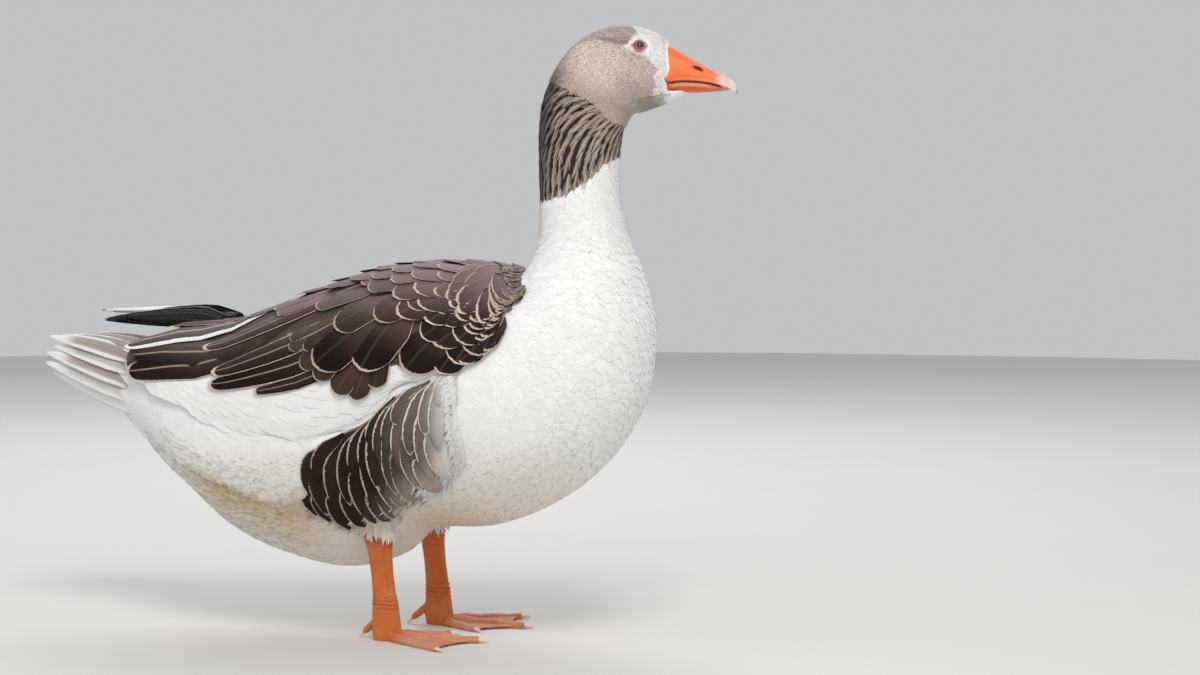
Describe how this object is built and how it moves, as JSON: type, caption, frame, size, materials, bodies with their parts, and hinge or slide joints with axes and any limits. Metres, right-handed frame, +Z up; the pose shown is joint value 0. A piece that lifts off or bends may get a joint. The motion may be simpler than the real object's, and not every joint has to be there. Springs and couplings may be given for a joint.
{
  "type": "domestic goose, standing",
  "caption": "Grey saddleback domestic goose standing on both webbed feet with wings folded, neck upright and head turned slightly left, as a still museum model.",
  "frame": {"origin": "centre of the whole bird's plan box, on the floor under its feet", "axes": "+X the way the body faces, +Y the bird's left, +Z up"},
  "size_m": [0.7226, 0.258, 0.604],
  "materials": {
    "white_feather": "soft white and cream contour feathers",
    "grey_feather": "plush taupe feathers, furrowed on the neck",
    "saddle_feather": "dark brown feathers with pale buff edges",
    "flank_feather": "brown feathers with pale curved bars",
    "primary_feather": "black-brown flight feathers with a low sheen",
    "bill": "smooth orange horn",
    "nail": "pale pink horn",
    "eye": "wet blue iris round a black pupil",
    "eyelid": "bare orange skin",
    "leg_skin": "finely scaled orange skin",
    "claw": "pale grey horn"
  },
  "bodies": {
    "root": {"trunk": "white_feather", "neck_lower": "white_feather", "tail": "white_feather", "neck_upper": "grey_feather", "head": "grey_feather", "wing_left": "saddle_feather", "wing_right": "saddle_feather", "flank_left": "flank_feather", "flank_right": "flank_feather", "primaries_left": "primary_feather", "primaries_right": "primary_feather", "bill_upper": "bill", "bill_lower": "bill", "bill_nail": "nail", "eye_left": "eye", "eye_right": "eye", "eyelid_left": "eyelid", "eyelid_right": "eyelid", "leg_left": "leg_skin", "leg_right": "leg_skin", "foot_left": "leg_skin", "foot_right": "leg_skin", "claw_outer_left": "claw", "claw_middle_left": "claw", "claw_inner_left": "claw", "claw_hind_left": "claw", "claw_outer_right": "claw", "claw_middle_right": "claw", "claw_inner_right": "claw", "claw_hind_right": "claw"}
  },
  "joints": []
}
